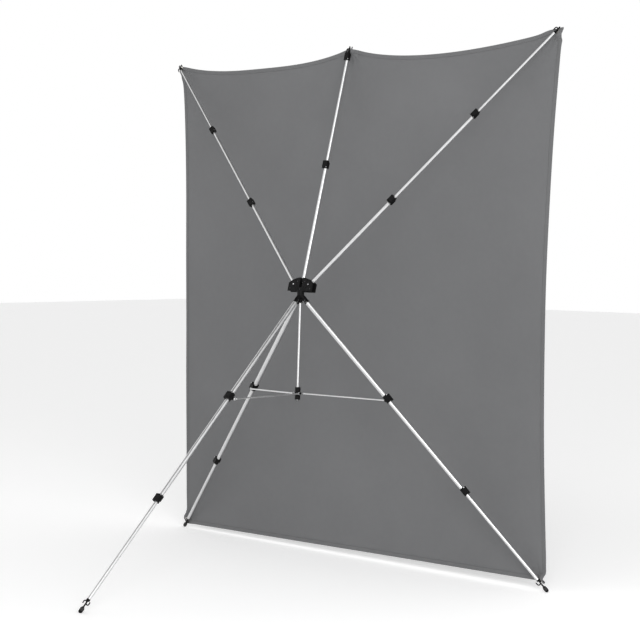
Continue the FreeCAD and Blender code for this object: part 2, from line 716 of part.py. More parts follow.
def grommets():
    """Five metal eyelets, each a barrel with a flange on both sides of the sheet."""
    rings = []
    depth = str(2 * GROMMET_HALF_THICKNESS)
    for x, y in GROMMETS:
        middle = at(x, y, -GROMMET_HALF_THICKNESS)
        barrel = cylinder(middle, f"grommet_hole_radius + {GROMMET_BARREL}", depth)
        back = cylinder(middle, "grommet_flange_radius", str(GROMMET_FLANGE))
        front_start = at(x, y, GROMMET_HALF_THICKNESS - GROMMET_FLANGE)
        front = cylinder(front_start, "grommet_flange_radius", str(GROMMET_FLANGE))
        rings.append(cut(fuse(barrel, back, front), cylinder(at(x, y, -5), "grommet_hole_radius", "10")))
    return gather(*rings)


# ---------------------------------------------------------------- the assembly
sub_part("crown", crown())
sub_part("crown_pins", crown_pins())
sub_part("spindle", spindle(), HUB_FRAME)
sub_part("spider", spider(), HUB_FRAME.multiply(at(z=size["spider_drop"])))
for leg in LEG_TURNS:
    add_leg(leg)
for arm in ARM_RISES:
    add_arm(arm)
sub_part("backdrop_sheet", backdrop_sheet(), sheet_placement())
sub_part("grommets", grommets(), sheet_placement())

doc.recompute()
failed = [obj.Name for obj in doc.Objects if "Invalid" in obj.State or "Error" in obj.State]
if failed:
    raise RuntimeError("failed objects: " + ", ".join(failed))
for node in nodes:
    if node.Shape.isNull() or not node.Shape.isValid() or node.Shape.Volume <= 0:
        raise RuntimeError("bad shape: " + node.Label)

os.makedirs("parts", exist_ok=True)
for node in nodes:
    node.Shape.exportStep(f"parts/{node.Label}.step")

box = FreeCAD.BoundBox()
for node in nodes:
    box.add(node.Shape.BoundBox)
print(f"{len(nodes)} sub-parts, outline {box.XMin:.2f} to {box.XMax:.2f} by {box.YMin:.2f} to {box.YMax:.2f}")
print(f"height {box.ZMin:.2f} to {box.ZMax:.2f} mm")
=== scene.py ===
import json
import math

import bmesh
import bpy
from mathutils import Matrix, Vector


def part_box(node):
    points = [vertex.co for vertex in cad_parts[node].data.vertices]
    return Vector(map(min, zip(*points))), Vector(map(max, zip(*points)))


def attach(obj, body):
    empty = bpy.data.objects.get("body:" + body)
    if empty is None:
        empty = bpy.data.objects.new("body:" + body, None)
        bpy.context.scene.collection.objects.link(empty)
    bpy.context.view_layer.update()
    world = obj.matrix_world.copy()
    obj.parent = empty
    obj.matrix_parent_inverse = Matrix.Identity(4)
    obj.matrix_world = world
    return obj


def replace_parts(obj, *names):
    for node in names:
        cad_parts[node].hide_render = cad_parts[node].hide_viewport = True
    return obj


# Looks for the collapsible backdrop: its cloth sheet, hardware details and procedural materials.
# Lengths are in metres. MM turns the small hardware's millimetres into metres.
MM = 0.001

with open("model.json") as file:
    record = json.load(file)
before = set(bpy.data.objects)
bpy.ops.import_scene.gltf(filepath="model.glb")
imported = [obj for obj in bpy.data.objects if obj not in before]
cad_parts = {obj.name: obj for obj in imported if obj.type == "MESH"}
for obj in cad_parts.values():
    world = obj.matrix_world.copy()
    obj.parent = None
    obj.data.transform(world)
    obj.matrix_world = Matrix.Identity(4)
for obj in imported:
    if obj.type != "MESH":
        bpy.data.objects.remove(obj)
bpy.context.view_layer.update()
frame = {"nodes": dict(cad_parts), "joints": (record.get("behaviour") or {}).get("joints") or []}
nodes = frame["nodes"]
joints = {joint["name"]: joint for joint in frame["joints"]}

LEGS = ("leg_rear", "leg_left", "leg_right")
ARMS = ("arm_left", "arm_centre", "arm_right")


# ---------------------------------------------------------------- node helpers
class Shader:
    """A material's node tree, with short calls to add nodes and link them."""

    def __init__(self, name):
        self.material = bpy.data.materials.new(name)
        self.material.use_nodes = True
        self.tree = self.material.node_tree
        self.bsdf = self.tree.nodes["Principled BSDF"]
        self.coordinates = self.add("ShaderNodeTexCoord").outputs["Object"]

    def add(self, kind, **settings):
        node = self.tree.nodes.new(kind)
        for key, value in settings.items():
            setattr(node, key, value)
        return node

    def feed(self, socket, value):
        if isinstance(value, bpy.types.NodeSocket):
            self.tree.links.new(value, socket)
        else:
            socket.default_value = value

    def math(self, operation, a, b=0.0):
        node = self.add("ShaderNodeMath", operation=operation)
        for socket, value in zip(node.inputs, (a, b)):
            self.feed(socket, value)
        return node.outputs[0]

    def dot(self, a, b):
        node = self.add("ShaderNodeVectorMath", operation="DOT_PRODUCT")
        self.feed(node.inputs[0], a)
        self.feed(node.inputs[1], b)
        return node.outputs["Value"]

    def combine(self, x, y, z):
        node = self.add("ShaderNodeCombineXYZ")
        for socket, value in zip(node.inputs, (x, y, z)):
            self.feed(socket, value)
        return node.outputs[0]

    def noise(self, vector, scale, detail=3.0, roughness=0.5):
        node = self.add("ShaderNodeTexNoise")
        self.feed(node.inputs["Vector"], vector)
        node.inputs["Scale"].default_value = scale
        node.inputs["Detail"].default_value = detail
        node.inputs["Roughness"].default_value = roughness
        return node.outputs["Fac"]

    def remap(self, value, low, high, to_low, to_high):
        node = self.add("ShaderNodeMapRange")
        for socket, item in zip(node.inputs, (value, low, high, to_low, to_high)):
            self.feed(socket, item)
        return node.outputs["Result"]

    def ramp(self, value, stops):
        node = self.add("ShaderNodeValToRGB")
        self.feed(node.inputs[0], value)
        band = node.color_ramp
        while len(band.elements) < len(stops):
            band.elements.new(0.5)
        for element, (place, colour) in zip(band.elements, stops):
            element.position = place
            element.color = (*colour, 1.0)
        return node.outputs["Color"]

    def bump(self, height, strength, distance):
        node = self.add("ShaderNodeBump")
        node.inputs["Strength"].default_value = strength
        node.inputs["Distance"].default_value = distance
        self.feed(node.inputs["Height"], height)
        self.feed(self.bsdf.inputs["Normal"], node.outputs["Normal"])

    def set(self, name, value):
        self.feed(self.bsdf.inputs[name], value)


def grey(value, tint=(1.0, 1.0, 1.0)):
    """A linear colour of one tone, with a slight tint."""
    return tuple(value * part for part in tint)


# ---------------------------------------------------------------- materials
def tube_material(name, along, across, tone=0.68):
    """Satin anodised aluminium, drawn along the tube, with faint handling marks."""
    s = Shader(name)
    run = s.dot(s.coordinates, along)
    side = s.dot(s.coordinates, across)
    up = s.dot(s.coordinates, tuple(Vector(along).cross(Vector(across))))
    drawn = s.noise(s.combine(s.math("MULTIPLY", run, 0.02), side, up), 1400.0, 2.0)
    streaks = s.noise(s.combine(s.math("MULTIPLY", run, 0.05), side, up), 260.0, 3.0)
    marks = s.noise(s.combine(s.math("MULTIPLY", run, 0.6), side, up), 38.0, 4.0, 0.6)
    shade = s.math("ADD", s.math("MULTIPLY", streaks, 0.5), s.math("MULTIPLY", marks, 0.5))
    dull, bright = grey(tone * 0.90, (1.0, 1.0, 1.01)), grey(tone * 1.06)
    s.set("Base Color", s.ramp(shade, [(0.30, dull), (0.70, bright)]))
    s.set("Metallic", 1.0)
    s.set("Roughness", s.remap(marks, 0.3, 0.75, 0.33, 0.46))
    s.bump(drawn, 0.25, 0.00006)
    return s.material


def plastic_material(name, tone, rough, grain=0.00005):
    """Moulded nylon with a fine texture, soft shade changes and rubbed patches."""
    s = Shader(name)
    fine = s.noise(s.coordinates, 2600.0, 2.0)
    broad = s.noise(s.coordinates, 60.0, 4.0, 0.6)
    rubbed = s.noise(s.coordinates, 210.0, 3.0, 0.55)
    dark, worn = grey(tone * 0.80), grey(tone * 1.35, (1.0, 1.0, 1.03))
    s.set("Base Color", s.ramp(broad, [(0.30, dark), (0.72, worn)]))
    s.set("Roughness", s.remap(rubbed, 0.3, 0.75, rough - 0.08, rough + 0.12))
    s.set("IOR", 1.5)
    s.set("Specular IOR Level", 0.07)
    s.bump(fine, 0.5, grain)
    return s.material


def rubber_material(name):
    """Dusty soft rubber."""
    s = Shader(name)
    dust = s.noise(s.coordinates, 140.0, 5.0, 0.65)
    fine = s.noise(s.coordinates, 1900.0, 2.0)
    s.set("Base Color", s.ramp(dust, [(0.40, grey(0.014)), (0.80, grey(0.040, (1.0, 0.98, 0.95)))]))
    s.set("Roughness", s.remap(dust, 0.3, 0.7, 0.62, 0.86))
    s.bump(fine, 0.6, 0.00008)
    return s.material


def metal_material(name, colour, rough):
    """Plated or turned metal with fine scratches."""
    s = Shader(name)
    fine = s.noise(s.coordinates, 1500.0, 3.0)
    broad = s.noise(s.coordinates, 240.0, 3.0)
    dark = tuple(part * 0.82 for part in colour)
    s.set("Base Color", s.ramp(broad, [(0.3, dark), (0.7, colour)]))
    s.set("Metallic", 1.0)
    s.set("Roughness", s.remap(broad, 0.3, 0.7, rough - 0.06, rough + 0.10))
    s.bump(fine, 0.3, 0.00005)
    return s.material


WEAVE_PITCH = 0.0009
CLOTH_TINT = (0.985, 0.995, 1.02)


def cloth_material(name, tone):
    """Plain-woven matt polyester: crossed threads, slubs and slow shade changes."""
    s = Shader(name)
    separate = s.add("ShaderNodeSeparateXYZ")
    s.feed(separate.inputs[0], s.coordinates)
    x, z = separate.outputs["X"], separate.outputs["Z"]
    turns = 2.0 * math.pi / WEAVE_PITCH
    warp = s.math("SINE", s.math("MULTIPLY", x, turns))
    weft = s.math("SINE", s.math("MULTIPLY", z, turns))
    weave = s.math("MULTIPLY", warp, weft)
    slub_x = s.noise(s.combine(s.math("MULTIPLY", x, 0.03), 0.0, z), 900.0, 2.0)
    slub_z = s.noise(s.combine(x, 0.0, s.math("MULTIPLY", z, 0.03)), 900.0, 2.0)
    slubs = s.math("ADD", slub_x, slub_z)
    slow = s.noise(s.coordinates, 1.7, 4.0, 0.55)
    mottle = s.noise(s.coordinates, 34.0, 4.0, 0.6)
    shade = s.math("ADD", s.math("MULTIPLY", slow, 0.55), s.math("MULTIPLY", mottle, 0.18))
    shade = s.math("ADD", shade, s.math("MULTIPLY", slubs, 0.10))
    shade = s.math("ADD", shade, s.math("MULTIPLY", weave, 0.025))
    low, high = grey(tone * 0.91, CLOTH_TINT), grey(tone * 1.08, CLOTH_TINT)
    s.set("Base Color", s.ramp(shade, [(0.28, low), (0.64, high)]))
    s.set("Roughness", 0.86)
    s.set("Specular IOR Level", 0.25)
    s.set("Sheen Weight", 0.12)
    s.set("Sheen Roughness", 0.45)
    height = s.math("ADD", s.math("MULTIPLY", weave, 0.5), s.math("MULTIPLY", slubs, 0.35))
    s.bump(height, 0.35, 0.00012)
    return s.material


def thread_material(name, tone):
    """Spun sewing thread, a little darker than the cloth."""
    s = Shader(name)
    twist = s.noise(s.coordinates, 1700.0, 2.0)
    s.set("Base Color", s.ramp(twist, [(0.3, grey(tone * 0.8)), (0.7, grey(tone * 1.2))]))
    s.set("Roughness", 0.7)
    s.bump(twist, 0.4, 0.00006)
    return s.material


black = plastic_material("black_nylon", 0.0062, 0.46)
black_glossy = plastic_material("black_nylon_smooth", 0.0056, 0.38, 0.00003)
rubber = rubber_material("foot_rubber")
steel = metal_material("plain_steel", (0.60, 0.60, 0.61), 0.30)
nickel = metal_material("nickel_plate", (0.66, 0.64, 0.60), 0.24)
dark_steel = metal_material("blacked_steel", (0.09, 0.09, 0.095), 0.34)
cloth = cloth_material("grey_backdrop_cloth", 0.127)
cloth_hem = cloth_material("grey_backdrop_hem", 0.121)
thread = thread_material("grey_thread", 0.115)


# ---------------------------------------------------------------- mesh helpers
def offset(x, y, z):
    """A shift given in mm."""
    return Matrix.Translation(Vector((x, y, z)) * MM)


def rotate(degrees, axis):
    return Matrix.Rotation(math.radians(degrees), 4, axis)


def basis(x, y, z):
    """The rotation whose local axes point along the three directions."""
    return Matrix((x, y, z)).transposed().to_4x4()


def new_object(name, data):
    obj = bpy.data.objects.new(name, data)
    bpy.context.scene.collection.objects.link(obj)
    return obj


def mesh_from(name, bm):
    mesh = bpy.data.meshes.new(name)
    bm.to_mesh(mesh)
    bm.free()
    return mesh


def new_piece(name, mesh, material, body):
    """A visual piece that moves with a body of the frame and wears one material."""
    obj = new_object(name, mesh)
    mesh.materials.append(material)
    mesh.shade_smooth()
    mesh.set_sharp_from_angle(angle=math.radians(35))
    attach(obj, body)
    return obj


def solid_piece(name, bm, material, body):
    """A new piece from the closed shapes in bm, with their faces turned outwards."""
    bmesh.ops.recalc_face_normals(bm, faces=bm.faces)
    return new_piece(name, mesh_from(name, bm), material, body)


def bridge(bm, low, high):
    """A band of faces between two rings of points."""
    for a, b, c, d in zip(low, low[1:] + low[:1], high[1:] + high[:1], high):
        bm.faces.new((a, b, c, d))


def turn_profile(bm, profile, matrix, steps):
    """Turns a (radius, height) profile in mm about local Z. Returns its rings of points."""
    rings = []
    for radius, height in profile:
        ring = []
        for step in range(steps):
            angle = 2 * math.pi * step / steps
            point = Vector((radius * math.cos(angle), radius * math.sin(angle), height)) * MM
            ring.append(bm.verts.new(matrix @ point))
        rings.append(ring)
    for low, high in zip(rings, rings[1:]):
        bridge(bm, low, high)
    return rings


def revolve(bm, profile, matrix, steps=32):
    """A ring: the profile's last point joins its first."""
    rings = turn_profile(bm, profile, matrix, steps)
    bridge(bm, rings[-1], rings[0])


def solid_revolve(bm, profile, matrix, steps=32):
    """A solid: the profile's two ends are closed with flat caps."""
    rings = turn_profile(bm, profile, matrix, steps)
    bm.faces.new(list(reversed(rings[0])))
    bm.faces.new(rings[-1])


def raised_band(bm, matrix, height, inner, outer, width, slope, steps=40):
    """A low ring around local Z that starts at height and has sloping sides."""
    rise, fall, end = height + slope, height + width - slope, height + width
    revolve(bm, [(inner, height), (outer, rise), (outer, fall), (inner, end)], matrix, steps)


def rounded_bar(bm, matrix, size, radius):
    """A box of the given X, Y and Z size in mm, centred, with rounded edges."""
    part = bmesh.new()
    bmesh.ops.create_cube(part, size=1.0)
    bmesh.ops.scale(part, vec=Vector(size) * MM, verts=part.verts)
    bmesh.ops.bevel(part, geom=part.edges[:], offset=radius * MM, segments=2, affect="EDGES", profile=0.5)
    part.transform(matrix)
    mesh = mesh_from("scratch", part)
    bm.from_mesh(mesh)
    bpy.data.meshes.remove(mesh)


# ---------------------------------------------------------------- limb frames
LEG_RADII = (11.0, 9.5, 8.0)     # outer, middle and inner tubes
ARM_RADII = (8.25, 6.8, 5.4)
CLAMP_WALL = 2.8
LOCK_HINGE = 14.8                # a lever's hinge, towards the crown from its clamp's middle
CAP_PLUG = 18.0                  # a tip's plug inside its tube, before the cap begins


def direction(joint):
    return Vector(joints[joint]["axis"]).normalized()


class Limb:
    """Local directions of a limb: z away from the crown, y to its levers' side, and x sideways."""

    def __init__(self, name):
        self.name = name
        leg = name in LEGS
        self.first, self.last = ("upper", "lower") if leg else ("lower", "upper")
        self.radii = LEG_RADII if leg else ARM_RADII
        self.tip_node = "_hook_foot" if leg else "_hook"
        self.z = -direction(f"{name}_{self.first}_telescope")
        self.x = -direction(f"{name}_{self.first}_flip_lever_hinge")
        self.y = self.z.cross(self.x)
        self.rotation = basis(self.x, self.y, self.z)
        self.fold = Vector(joints[name + "_fold"]["pos_m"])

    def at(self, origin, x=0.0, y=0.0, z=0.0):
        """The limb's frame at a point, moved by some mm along its own directions."""
        place = Vector(origin) + (self.x * x + self.y * y + self.z * z) * MM
        return Matrix.Translation(place) @ self.rotation

    def on_axis(self, point):
        """The point of the limb's axis that is level with the given one."""
        return self.fold + self.z * self.z.dot(Vector(point) - self.fold)

    def lock(self, number):
        """The middle of a clamp, on the limb's axis."""
        end = self.first if number == 1 else self.last
        hinge = Vector(joints[f"{self.name}_{end}_flip_lever_hinge"]["pos_m"])
        return self.on_axis(hinge) + self.z * (LOCK_HINGE * MM)

    def cap_start(self):
        """How far the tip's cap begins from the fold pin, in mm."""
        tip = nodes[self.name + self.tip_node].data.vertices
        return min(self.z.dot(vertex.co - self.fold) for vertex in tip) / MM + CAP_PLUG


limbs = {name: Limb(name) for name in LEGS + ARMS}
ALONG_LOCAL_X = rotate(90, "Y")  # lays a turned shape along local X
spindle_down = -direction("spider_slide")


# ---------------------------------------------------------------- finishes on the CAD pieces
def finish_node(node, material):
    mesh = nodes[node].data
    mesh.materials.clear()
    mesh.materials.append(material)
    mesh.shade_smooth()
    mesh.set_sharp_from_angle(angle=math.radians(32))


for limb in limbs.values():
    metal = tube_material(limb.name + "_aluminium", tuple(limb.z), tuple(limb.x))
    for stage in ("outer", "middle", "inner"):
        finish_node(f"{limb.name}_{stage}_tube", metal)
    for number in (1, 2):
        finish_node(f"{limb.name}_clamp_{number}", black)
        finish_node(f"{limb.name}_lever_{number}", black_glossy)
    finish_node(limb.name + limb.tip_node, black_glossy)
for name in LEGS:
    finish_node(name + "_socket", black)
finish_node("crown", black)
finish_node("crown_pins", steel)
finish_node("spider", black)
finish_node("spindle", tube_material("spindle_aluminium", tuple(spindle_down), (1.0, 0.0, 0.0)))
for side in ("rear", "left", "right"):
    finish_node("brace_" + side, black)


# ---------------------------------------------------------------- lock details
LIP_END = 19.05                  # the lips stay just clear of the next clamp on a collapsed limb


def add_lock_details(limb, number):
    """Grip ribs and trunnion caps on the lever, and two end lips and a screw head on the clamp."""
    tube_radius, next_radius = limb.radii[number - 1], limb.radii[number]
    ring = tube_radius + CLAMP_WALL
    plate_top, cheek_out = ring + 3.2, ring + 2.9       # the lever's outer faces
    place = limb.at(limb.lock(number))
    stem = f"{limb.name}_{number}"
    lever = f"{limb.name}_{limb.first if number == 1 else limb.last}_flip_lever"
    section = f"{limb.name}_{limb.first if number == 1 else 'middle'}_section"

    grip = bmesh.new()
    for step in range(4):
        spot = offset(0, plate_top + 0.15, 8.0 + 2.7 * step)
        rounded_bar(grip, place @ spot, (1.5 * ring, 0.9, 1.1), 0.35)
    for side in (-1, 1):
        spot = offset(side * 0.78 * ring, plate_top + 0.05, -1.5)
        rounded_bar(grip, place @ spot, (1.2, 0.7, 14.0), 0.3)
    solid_piece(stem + "_lever_grip", grip, black_glossy, lever)

    caps = bmesh.new()
    for side in (-1, 1):
        spot = offset(side * cheek_out, ring + 2.0, -LOCK_HINGE)
        profile = [(2.6, -0.2), (2.6, 0.25), (2.2, 0.62), (1.5, 0.75), (1.15, 0.55), (1.1, 0.25)]
        solid_revolve(caps, profile, place @ spot @ rotate(90 * side, "Y"), 24)
    solid_piece(stem + "_lever_pins", caps, steel, lever)

    lips = bmesh.new()
    inner, outer = tube_radius + 0.15, ring - 0.1
    low = [(inner, -LIP_END), (outer - 0.4, -LIP_END), (outer, -18.75), (outer, -18.2), (inner, -18.2)]
    inner, outer = next_radius + 0.45, ring - 0.2
    high = [(inner, LIP_END), (inner, 18.3), (outer, 18.3), (outer, 18.7), (outer - 0.5, LIP_END)]
    revolve(lips, low, place, 40)
    revolve(lips, high, place, 40)
    solid_piece(stem + "_clamp_lips", lips, black_glossy, section)

    screw = bmesh.new()
    spot = offset(0, -ring + 0.35, 7.0)
    profile = [(2.4, -0.3), (2.4, 0.8), (2.1, 1.15), (1.25, 1.15), (1.2, 0.3)]
    solid_revolve(screw, profile, place @ spot @ rotate(90, "X"), 24)
    solid_piece(stem + "_clamp_screw", screw, dark_steel, section)


for limb in limbs.values():
    for number in (1, 2):
        add_lock_details(limb, number)


# ---------------------------------------------------------------- leg sockets and feet
def add_socket_details(limb):
    """Two raised bands and a pair of rivets on a leg's socket."""
    body = f"{limb.name}_upper_section"
    pivot = limb.at(limb.fold)
    bands = bmesh.new()
    for height in (8.2, 14.6):
        raised_band(bands, pivot, height, 11.6, 12.35, 1.6, 0.25)
    solid_piece(limb.name + "_socket_bands", bands, black_glossy, body)
    rivets = bmesh.new()
    for side in (-1, 1):
        spot = offset(side * 11.8, 0, 12.4)
        profile = [(1.9, -0.4), (1.9, 0.35), (1.5, 0.8), (0.7, 1.0)]
        solid_revolve(rivets, profile, pivot @ spot @ rotate(90 * side, "Y"), 20)
    solid_piece(limb.name + "_socket_rivets", rivets, steel, body)


def add_rubber_foot(limb):
    """A grooved rubber boot on the end of a leg."""
    boot = bmesh.new()
    profile = [(3.45, 38.0), (4.6, 38.6), (9.05, 46.4), (9.3, 47.6)]
    for groove in range(5):
        height = 48.2 + 2.5 * groove
        profile += [(9.3, height), (9.02, height + 0.35), (9.02, height + 0.85), (9.3, height + 1.2)]
    profile += [(9.25, 60.6), (8.9, 60.9)]
    solid_revolve(boot, profile, limb.at(limb.fold, z=limb.cap_start()), 40)
    solid_piece(limb.name + "_rubber_foot", boot, rubber, f"{limb.name}_lower_section")


for name in LEGS:
    add_socket_details(limbs[name])
    add_rubber_foot(limbs[name])


def add_tip_collar(limb):
    """A ribbed collar where the hook's cap meets the inner tube."""
    tip = limb.at(limb.fold, z=limb.cap_start())
    edge = limb.radii[2] + (0.4 if limb.name in LEGS else 0.8)
    collar = bmesh.new()
    for height in (1.0, 3.4, 5.8):
        raised_band(collar, tip, height, edge - 0.2, edge + 0.35, 1.2, 0.3, 36)
    body = f"{limb.name}_{limb.last}_section"
    solid_piece(limb.name + "_tip_collar", collar, black_glossy, body)


for limb in limbs.values():
    add_tip_collar(limb)


# ---------------------------------------------------------------- crown details
HUB_DROP = 68.0                  # the hub's centre, below the centre arm's fold pin
FAN_BACK, FAN_FRONT = 14.0, -15.0
DOME_CENTRE, DOME_RADIUS = -45.0, 127.0
RIM_INSET = 2.2                  # the rim rib's middle, inside the dome's edge

fan_side = Vector((1, 0, 0))
fan_back = limbs["arm_centre"].y
fan_up = limbs["arm_centre"].z
hub = limbs["arm_centre"].fold - fan_up * (HUB_DROP * MM)
fan_matrix = Matrix.Translation(hub) @ basis(fan_side, fan_back, fan_up)
spindle_matrix = Matrix.Translation(hub) @ basis(fan_side, spindle_down.cross(fan_side), spindle_down)


def fan_rib(bm, face, start, end):
    """A low rib on one of the fan's faces, between two (x, z) points."""
    run_x, run_z = end[0] - start[0], end[1] - start[1]
    out = 0.3 if face > 0 else -0.3
    spot = offset((start[0] + end[0]) / 2, face + out, (start[1] + end[1]) / 2)
    slope = Matrix.Rotation(math.atan2(run_x, run_z), 4, "Y")
    rounded_bar(bm, fan_matrix @ spot @ slope, (1.8, 1.4, math.hypot(run_x, run_z)), 0.5)


def rim_rib(bm, face):
    """Short bars in a row along the dome's edge, with a gap at the centre arm's slot."""
    reach, steps, half_turn = DOME_RADIUS - RIM_INSET, 34, 36
    for step in range(steps):
        turn = math.radians(-half_turn + 2 * half_turn * (step + 0.5) / steps)
        x, z = reach * math.sin(turn), DOME_CENTRE + reach * math.cos(turn)
        if face == FAN_BACK and abs(x) < 11.5:
            continue
        spot = offset(x, face + math.copysign(0.3, face), z)
        rounded_bar(bm, fan_matrix @ spot @ Matrix.Rotation(turn, 4, "Y"), (5.0, 1.4, 2.2), 0.5)


def add_crown_ribs():
    """Moulded ribs on both faces of the fan, the same on its left and right."""
    ribs = bmesh.new()
    slanted = [((12, 20), (40, 73)), ((22, 19), (62, 59))]
    straight = [((26, 17.2), (75.5, 17.2)), ((75.9, 19), (75.9, 52))]
    for face in (FAN_BACK, FAN_FRONT):
        for side in (-1, 1):
            for (x0, z0), (x1, z1) in slanted + straight:
                fan_rib(ribs, face, (side * x0, z0), (side * x1, z1))
        rim_rib(ribs, face)
    solid_piece("crown_ribs", ribs, black_glossy, "frame")


def add_pin_heads():
    """Heads on the hinge pins, and small screw heads on both faces of the fan."""
    arm_heads, small_heads = bmesh.new(), bmesh.new()
    pin = [(3.4, -0.3), (3.4, 0.7), (2.9, 1.2), (1.7, 1.4), (1.5, 0.9)]
    screw = [(2.2, -0.3), (2.2, 0.5), (1.8, 0.9), (1.0, 1.1), (0.9, 0.6)]
    faces = ((FAN_BACK, rotate(-90, "X")), (FAN_FRONT, rotate(90, "X")))
    for name in ("arm_left", "arm_right"):
        for face, outwards in faces:
            solid_revolve(arm_heads, pin, limbs[name].at(limbs[name].fold, y=face) @ outwards, 28)
    for x, z in ((-64.0, 28.0), (64.0, 28.0), (-24.0, 62.0), (24.0, 62.0), (0.0, 24.0)):
        for face, outwards in faces:
            solid_revolve(small_heads, screw, fan_matrix @ offset(x, face, z) @ outwards, 24)
    for name in LEGS:
        for side in (-1, 1):
            spot = limbs[name].at(limbs[name].fold, x=side * 11.2)
            solid_revolve(small_heads, pin, spot @ rotate(90 * side, "Y"), 28)
    solid_piece("crown_arm_pin_heads", arm_heads, steel, "frame")
    solid_piece("crown_screw_heads", small_heads, dark_steel, "frame")


def add_crown_bands():
    """Raised bands around the spindle's socket and around the barrel of each leg."""
    bands = bmesh.new()
    revolve(bands, [(9.4, 34.5), (10.4, 34.9), (10.4, 38.4), (9.4, 38.9)], spindle_matrix, 40)
    raised_band(bands, spindle_matrix, 29.0, 9.4, 10.0, 2.0, 0.3)
    for name in LEGS:
        barrel = limbs[name].at(limbs[name].fold, z=-37.0)
        for height in (22.0, 26.2):
            raised_band(bands, barrel, height, 11.7, 12.5, 2.2, 0.3)
    solid_piece("crown_bands", bands, black_glossy, "frame")


def add_spindle_cap():
    """A plastic cap on the spindle's lower end."""
    cap = bmesh.new()
    end = max((vertex.co - hub).dot(spindle_down) for vertex in nodes["spindle"].data.vertices) / MM
    profile = [(7.2, end - 2.6), (8.2, end - 2.4), (8.2, end - 0.4), (7.4, end + 0.6)]
    solid_revolve(cap, profile, spindle_matrix, 36)
    solid_piece("spindle_end_cap", cap, black_glossy, "frame")


def add_arm_root(limb):
    """A thin plastic sleeve around the arm's root, inside the crown's slot."""
    top = 12.5 if limb.name == "arm_centre" else 20.0
    sleeve = bmesh.new()
    profile = [(8.27, -7.8), (8.5, -7.6), (8.5, top - 0.2), (8.27, top)]
    revolve(sleeve, profile, limb.at(limb.fold), 40)
    body = f"{limb.name}_lower_section"
    solid_piece(limb.name + "_root_sleeve", sleeve, black_glossy, body)


add_crown_ribs()
add_pin_heads()
add_crown_bands()
add_spindle_cap()
for name in ARMS:
    add_arm_root(limbs[name])


# ---------------------------------------------------------------- spider and braces
SPIDER_MIDDLE = 472.5            # along the spindle, from the hub


def add_spider_details():
    """Two collars with a notch between them for the braces, rings on the collars and a set screw."""
    collars, rings = bmesh.new(), bmesh.new()
    profile = [(10.3, 8.8), (12.7, 8.8), (13.3, 9.6), (13.3, 28.6), (12.4, 29.7), (10.3, 29.7)]
    for side in (-1, 1):
        collar = [(radius, SPIDER_MIDDLE + side * height) for radius, height in profile]
        revolve(collars, collar, spindle_matrix, 44)
        for height in (12.0, 25.0):
            start = SPIDER_MIDDLE + side * height
            raised_band(rings, spindle_matrix, start, 13.1, 13.7, side * 1.6, side * 0.3, 44)
    solid_piece("spider_collars", collars, black, "spider")
    solid_piece("spider_rings", rings, black_glossy, "spider")
    screw = bmesh.new()
    spot = spindle_matrix @ rotate(-35, "Z") @ offset(12.8, 0, SPIDER_MIDDLE - 19.0)
    profile = [(2.6, -0.5), (2.6, 1.6), (2.2, 2.1), (1.3, 2.1), (1.2, 1.0)]
    solid_revolve(screw, profile, spot @ ALONG_LOCAL_X, 24)
    solid_piece("spider_set_screw", screw, dark_steel, "spider")


add_spider_details()

EYE_RADIUS = 6.5                 # round ends of a brace
EYE_THICKNESS = 5.4
BRACE_START, BRACE_END = 17.0, 23.2      # how far sideways the brace's two ends are, along its pin


def brace_matrix(side):
    """The spider's pin, with local X along it and Z along the brace, and the brace's length in mm."""
    joint = joints[f"brace_{side}_hinge"]
    across, start = Vector(joint["axis"]).normalized(), Vector(joint["pos_m"])
    reach = [vertex.co - start for vertex in nodes["brace_" + side].data.vertices]
    furthest = max(point.length for point in reach)
    end = [point for point in reach if point.length > furthest - 0.014]
    mean = sum(end, Vector()) / len(end)
    along = (mean - across * mean.dot(across)).normalized()
    length = max(point.dot(along) for point in reach) / MM - EYE_RADIUS
    return Matrix.Translation(start) @ basis(across, along.cross(across), along), length


def flat_eye(bm, matrix, x, z, hole):
    """A brace's round end: a flat ring with rounded rims, its axis along local X."""
    half = EYE_THICKNESS / 2
    inner = [(hole + 0.3, half), (hole, half - 0.2), (hole, 0.2 - half), (hole + 0.3, -half)]
    rim = EYE_RADIUS - 0.5
    outer = [(rim, -half), (EYE_RADIUS, 0.5 - half), (EYE_RADIUS, half - 0.5), (rim, half)]
    revolve(bm, inner + outer, matrix @ offset(x, 0, z) @ ALONG_LOCAL_X, 36)


def brace_socket(bm, matrix):
    """The tapered plug that joins a round end to the rod."""
    profile = [(2.6, 4.8), (3.0, 5.4), (3.9, 11.8), (4.0, 13.3), (4.0, 23.8), (3.65, 25.3)]
    solid_revolve(bm, profile, matrix, 28)


